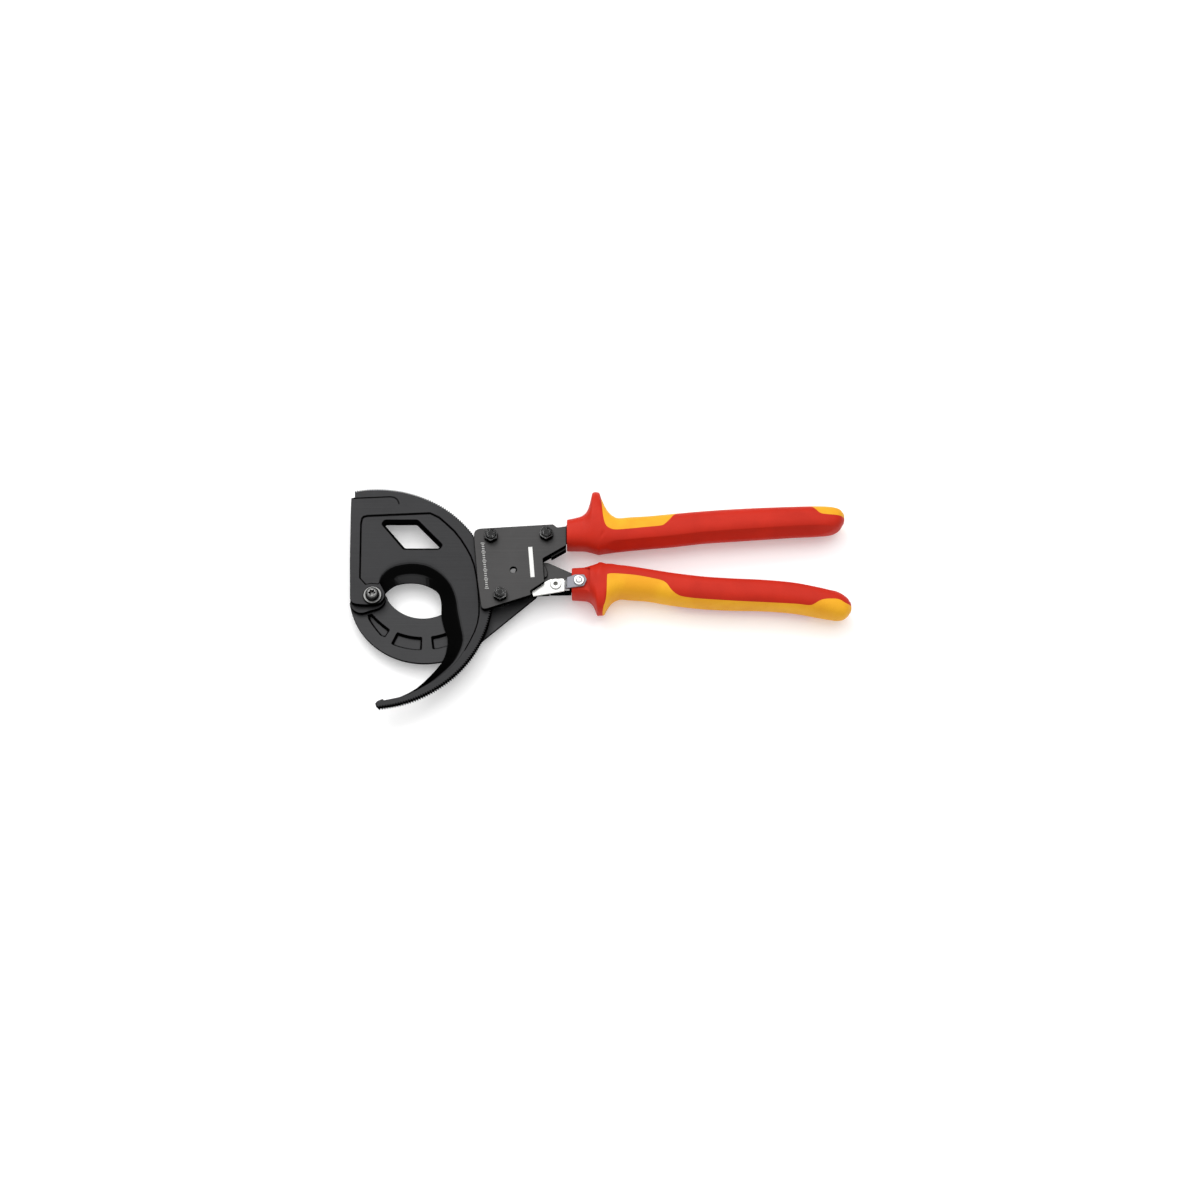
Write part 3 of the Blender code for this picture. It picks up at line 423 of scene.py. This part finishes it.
LOWER_GRIP = [(127.8, 9.2, 9.9, 10.3), (135.0, 9.2, 10.3, 10.6), (138.0, 9.3, 10.8, 11.3),
              (140.2, 9.0, 11.8, 12.2), (141.9, 8.1, 13.3, 12.4), (143.2, 6.6, 15.5, 12.4),
              (144.2, 5.6, 17.0, 12.4), (145.9, 6.1, 17.5, 12.4), (148.6, 5.9, 17.0, 12.1),
              (149.8, 7.0, 15.5, 11.9),
              (151.5, 8.4, 14.1, 11.7), (153.8, 9.9, 12.5, 11.5), (157.0, 10.7, 11.2, 11.3),
              (160.0, 10.8, 10.7, 11.2), (166.0, 10.1, 10.6, 11.1), (177.0, 8.7, 10.1, 11.0),
              (192.5, 5.9, 10.2, 11.0), (212.0, 3.4, 10.1, 11.0), (231.0, 2.2, 9.9, 11.0),
              (250.5, 1.5, 9.6, 11.0), (270.0, -0.3, 9.5, 10.8), (285.5, -3.4, 9.4, 10.6),
              (293.0, -5.1, 9.2, 10.1), (298.0, -6.2, 9.0, 9.2), (302.0, -7.0, 7.7, 7.6),
              (304.7, -7.1, 5.7, 5.6), (306.0, -7.2, 3.7, 3.8)]
UPPER_INLAY = [(146.4, 90.0), (146.6, 68.0), (147.5, 56.6), (148.4, 50.1), (149.8, 46.1), (152.4, 44.0),
               (156.2, 43.2), (165.3, 44.0), (175.0, 45.1), (185.0, 46.2), (188.0, 47.6),
               (191.3, 51.2), (194.2, 55.0), (198.0, 56.9), (213.0, 58.5), (252.0, 61.2),
               (279.0, 62.4), (283.0, 61.6), (286.0, 58.6), (288.4, 55.9), (292.0, 54.9),
               (301.4, 55.0), (312.0, 55.2)]
LOWER_INLAY = [(146.8, -40.0), (147.0, -14.0), (147.9, -10.0), (149.4, -6.0), (150.1, -1.0),
               (150.5, 10.0), (151.4, 11.5), (154.0, 11.9), (158.2, 11.8), (168.5, 10.9),
               (177.9, 9.1), (185.4, 7.2), (188.6, 5.0), (191.4, 1.2), (195.0, -1.6),
               (200.0, -3.1), (212.0, -4.5), (231.0, -5.7), (250.5, -6.5), (270.0, -7.8),
               (279.0, -9.0), (282.2, -8.6), (285.6, -6.8), (288.4, -5.8), (293.0, -5.2),
               (298.6, -5.3), (303.7, -7.2), (312.0, -7.3)]
FACET_LEAN = math.radians(25.0)
FACET_DEPTH = 1.0
FACET_SWELL = 0.8
FACET_SPAN = (149.0, 157.0, 288.0, 300.0)
GRIP_SIDES = 112
GRIP_STEP = 0.9
GRIP_CREASE, GRIP_EDGE = 32.0, 0.16
DOME_LENGTH, DOME_TURNS = 1.1, (0.5, 0.9, 1.2, 1.4)
SEAT = [(120.0, -3.0), (139.5, -3.0), (139.5, 16.5), (120.0, 16.5)]
SEAT_SPAN = (21.0, 40.0)
DIMPLE = ((147.6, 40.2), (0.55, 1.0), (2.6, 0.9), 0.55)


def fade(x, span):
    start, full, last, end = span
    rise = min(1.0, max(0.0, (x - start) / (full - start)))
    fall = min(1.0, max(0.0, (end - x) / (end - last)))
    return rise * rise * (3 - 2 * rise) * fall * fall * (3 - 2 * fall)


def grip_rings(stations, inner):
    """Superellipse rings with a flat beside the inner side on both faces, closed by a domed end."""
    power = 2.0 / GRIP_POWER
    dual = GRIP_POWER / (GRIP_POWER - 1.0)
    lean_y, lean_z = math.cos(FACET_LEAN), math.sin(FACET_LEAN)
    turn = 2 * np.pi * (np.arange(GRIP_SIDES) + 0.5) / GRIP_SIDES
    wave_y = np.sign(np.cos(turn)) * np.abs(np.cos(turn)) ** power
    wave_z = np.sign(np.sin(turn)) * np.abs(np.sin(turn)) ** power
    rows = evenly(smooth(stations, 8), GRIP_STEP)
    last = rows[-1]
    dome = [(last[0] + DOME_LENGTH * math.sin(a), last[1], last[2] * math.cos(a), last[3] * math.cos(a))
            for a in DOME_TURNS]
    first = rows[0]
    lip = [(first[0], first[1], first[2] - 0.35, first[3] - 0.35),
           (first[0] + 0.12, first[1], first[2] - 0.1, first[3] - 0.1)]
    rings = []
    for x, cy, half_y, half_z in lip + [tuple(r) for r in rows[1:]] + dome:
        flat = fade(x, FACET_SPAN)
        broad = half_y + FACET_SWELL * flat
        reach = ((broad * lean_y) ** dual + (half_z * lean_z) ** dual) ** (1.0 / dual)
        limit = reach - FACET_DEPTH * flat
        y, z = np.where(wave_y * inner > 0.0, broad, half_y) * wave_y, half_z * wave_z
        over = np.maximum(0.0, y * inner * lean_y + np.abs(z) * lean_z - limit)
        y = y - over * inner * lean_y
        z = z - over * np.sign(z) * lean_z
        rings.append(np.stack([np.full_like(y, x), cy + y, GRIP_MID_Z + z], axis=1))
    return np.array(rings)


def grip_side(prefix, stations, line, side, dent=None):
    """The hard shell and the soft inlay of one handle, parted along a line."""
    rings = grip_rings(stations, -side)
    if dent is not None:
        centre, along, size, depth = dent
        offset = rings[:, :, :2] - np.array(centre)
        direction = np.array(along) / np.linalg.norm(along)
        run = offset @ direction
        cross = offset @ np.array((-direction[1], direction[0]))
        pull = depth * np.exp(-(run / size[0]) ** 2 - (cross / size[1]) ** 2)
        rings[:, :, 2] -= pull * np.sign(rings[:, :, 2] - GRIP_MID_Z)
    region = [line[0]] + smooth(line[1:], 6) + [(line[-1][0], line[0][1])]
    halves = (("shell", "red_plastic", "DIFFERENCE"), ("inlay", "yellow_plastic", "INTERSECT"))
    for suffix, look, operation in halves:
        name = prefix + "_grip_" + suffix
        piece = loft(name + "_fine", rings, look)
        cut(piece, prism(name + "_tool", region, (-5.0, 40.0)), operation)
        if prefix == "lower" and suffix == "shell":
            cut(piece, prism("seat_tool", SEAT, SEAT_SPAN), "DIFFERENCE")
        crease(piece, GRIP_CREASE, GRIP_EDGE)
        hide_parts(name)
        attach(piece, "frame" if prefix == "upper" else "lever")


grip_side("upper", UPPER_GRIP, UPPER_INLAY, 1.0, DIMPLE)
grip_side("lower", LOWER_GRIP, LOWER_INLAY, -1.0)


# ---------------------------------------------------------------- stud, spring and plate marks
def turned(name, profile, centre, sides=72):
    """A closed profile of (radius, z) turned about a vertical line."""
    angles = [2 * math.pi * i / sides for i in range(sides)]
    return loft(name, [[(centre[0] + r * math.cos(a), centre[1] + r * math.sin(a), z) for a in angles]
                       for r, z in profile])


STUD_PROFILE = [(1.2, 21.2), (1.2, 22.9), (3.25, 22.9), (3.4, 23.05), (3.4, 23.3), (3.25, 23.6),
                (2.9, 23.78), (2.6, 23.72), (2.45, 23.5), (2.3, 23.45), (2.15, 23.55), (1.95, 23.85),
                (1.6, 24.15), (1.1, 24.36), (0.6, 24.44), (0.15, 24.45)]
STUD_CENTRE = (132.5, 7.5)
METAL_CREASE = 40.0
stud = turned("tab_stud_fine", STUD_PROFILE, STUD_CENTRE)
dress(stud, "chrome")
crease(stud, METAL_CREASE)
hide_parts("tab_stud")
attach(stud, "catch")

# The driving pawl's leaf spring, its coil on the lever and its tip at the pawl
LEAF_Z = (12.6, 15.0)
LEAF_RADIUS, LEAF_HALF = 2.05, 0.3
LEAF_CENTRE = Vector((98.5, 29.0))
LEAF_END, LEAF_TIP = Vector((93.6, 27.75)), Vector((89.35, 25.05))
LEAF_TURN = (-120.0, 170.0)
LEAF_STEPS = 40


def leaf_path():
    """The strip's middle line: straight from the tip, then round the coil."""
    start, end = LEAF_TURN
    turn = [math.radians(start + (end - start) * i / LEAF_STEPS) for i in range(LEAF_STEPS + 1)]
    coil = [LEAF_CENTRE + LEAF_RADIUS * Vector((math.cos(a), math.sin(a))) for a in reversed(turn)]
    arm = [LEAF_TIP.lerp(LEAF_END, i / 12) for i in range(13)]
    return arm + [LEAF_END.lerp(coil[0], i / 6) for i in range(1, 6)] + coil


def strip_rings(path, half, span):
    """Square-cut sections of a flat strip that stands on edge along a path."""
    rings = []
    for i, spot in enumerate(path):
        ahead = (path[min(i + 1, len(path) - 1)] - path[max(i - 1, 0)]).normalized()
        across = Vector((-ahead.y, ahead.x)) * half
        left, right = spot + across, spot - across
        corners = ((left, span[0]), (right, span[0]), (right, span[1]), (left, span[1]))
        rings.append([(p.x, p.y, z) for p, z in corners])
    return rings


leaf = loft("drive_spring_fine", strip_rings(leaf_path(), LEAF_HALF, LEAF_Z), "zinc_steel")
crease(leaf, METAL_CREASE)
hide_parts("drive_spring")
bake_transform(leaf)

PLATE_FACE = 18.9
MARK_SPAN = (PLATE_FACE - 0.02, PLATE_FACE + 0.04)
MARK_SIDES = ((3, 2, 1, 0), (4, 5, 6, 7), (0, 1, 5, 4), (1, 2, 6, 5), (2, 3, 7, 6), (3, 0, 4, 7))


def marks(name, strokes, width):
    """Flat painted strokes on the front plate, as one piece riding on the frame."""
    verts, faces = [], []
    for start, end in strokes:
        a, b = Vector(start), Vector(end)
        side = (b - a).normalized().orthogonal() * width / 2
        base = len(verts)
        for z in MARK_SPAN:
            verts += [(p.x * MM, p.y * MM, z * MM) for p in (a + side, a - side, b - side, b + side)]
        faces += [[base + i for i in face] for face in MARK_SIDES]
    piece = add_object(name, closed_mesh(name, verts, faces), "marking_white")
    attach(piece, "frame")


TICK_TOP, TICK_FOOT = Vector((70.0, 35.7)), Vector((73.4, 3.7))
TICK_COUNT = 26
TICK_LONG, TICK_SHORT = 1.3, 0.8
TICK_WIDTH, BAR_WIDTH = 0.28, 2.6
BAR = ((102.6, 11.5), (100.8, 32.9))
ticks = []
for i in range(TICK_COUNT):
    spot = TICK_TOP.lerp(TICK_FOOT, i / (TICK_COUNT - 1))
    half = TICK_LONG if i % 5 == 0 else TICK_SHORT
    ticks.append(((spot.x - half, spot.y), (spot.x + half, spot.y)))
marks("plate_ticks", ticks, TICK_WIDTH)
marks("plate_bar", [BAR], BAR_WIDTH)


# ---------------------------------------------------------------- camera, light and floor
CAMERA_TARGET = Vector((0.1459, -0.00315, 0.0156))
CAMERA_TILT = math.radians(24.0)
CAMERA_DISTANCE = 1.35
camera = bpy.data.objects.new("camera", bpy.data.cameras.new("camera"))
bpy.context.scene.collection.objects.link(camera)
away = Vector((0.0, -math.sin(CAMERA_TILT), math.cos(CAMERA_TILT)))
camera.location = CAMERA_TARGET + CAMERA_DISTANCE * away
camera.rotation_euler = (CAMERA_TILT, 0.0, 0.0)
camera.data.lens = 63.2
camera.data.sensor_width = 36.0
camera.data.clip_start = 0.01
bpy.context.scene.camera = camera


LAMP_AIM = Vector((0.15, 0.0, 0.0))


def lamp(name, place, size, power):
    """A rectangular lamp that points at the middle of the tool."""
    data = bpy.data.lights.new(name, "AREA")
    data.shape = "RECTANGLE"
    data.size = size[0]
    data.size_y = size[1]
    data.energy = power
    obj = bpy.data.objects.new(name, data)
    bpy.context.scene.collection.objects.link(obj)
    obj.location = place
    obj.rotation_euler = (LAMP_AIM - Vector(place)).to_track_quat("-Z", "Y").to_euler()


lamp("overhead", (0.15, 0.55, 1.5), (2.4, 1.6), 12.0)
lamp("key", (-0.35, 1.0, 1.15), (0.9, 0.6), 7.0)

world = bpy.data.worlds.new("studio")
bpy.context.scene.world = world
world.use_nodes = True
sky = world.node_tree.nodes
sky_links = world.node_tree.links
direction = sky.new("ShaderNodeTexCoord")
height = sky.new("ShaderNodeSeparateXYZ")
glow = sky.new("ShaderNodeMapRange")
for key, number in {"From Min": 0.0, "From Max": 0.8, "To Min": 0.12, "To Max": 0.95}.items():
    glow.inputs[key].default_value = number
sky_links.new(direction.outputs["Generated"], height.inputs[0])
sky_links.new(height.outputs["Z"], glow.inputs["Value"])
sky_links.new(glow.outputs["Result"], sky["Background"].inputs["Strength"])
sky["Background"].inputs["Color"].default_value = (1.0, 1.0, 1.0, 1.0)
bpy.context.scene.view_settings.view_transform = "Standard"

FLOOR_Z = -0.1 * MM             # just under the pivot bolt's head, so the two don't coincide
FLOOR_HALF = 3.0
floor_mesh = bpy.data.meshes.new("floor")
corners = ((-1, -1), (1, -1), (1, 1), (-1, 1))
floor_mesh.from_pydata([(x * FLOOR_HALF, y * FLOOR_HALF, FLOOR_Z) for x, y in corners], [], [(0, 1, 2, 3)])
floor = bpy.data.objects.new("floor", floor_mesh)
bpy.context.scene.collection.objects.link(floor)
paint = Graph("floor_paint")
floor_mesh.materials.append(paint.finish((0.86, 0.86, 0.86), 0.7,
                                         Emission_Color=(1.0, 1.0, 1.0, 1.0), Emission_Strength=0.22))
